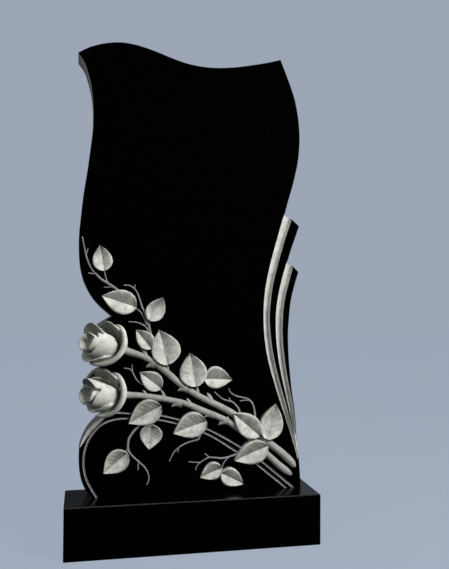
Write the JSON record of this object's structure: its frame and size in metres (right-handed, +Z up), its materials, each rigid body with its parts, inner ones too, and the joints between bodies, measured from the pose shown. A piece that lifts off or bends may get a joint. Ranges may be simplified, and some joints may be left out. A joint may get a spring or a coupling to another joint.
{
  "type": "headstone",
  "caption": "Upright headstone of polished black granite: wavy stele with roses, leaves, a scroll and ribbon strips carved on its face, standing on a rectangular plinth.",
  "frame": {"origin": "centre of the plinth's underside, on the ground", "axes": "+Z up; +X to the right when facing the polished face; the polished face looks along -Y"},
  "size_m": [0.6, 0.15, 1.1993],
  "materials": {
    "stele_granite": "black granite, polished, with the carving left light grey and matt",
    "plinth_granite": "black granite, polished"
  },
  "bodies": {
    "root": {"stele": "stele_granite", "plinth": "plinth_granite"}
  },
  "joints": []
}
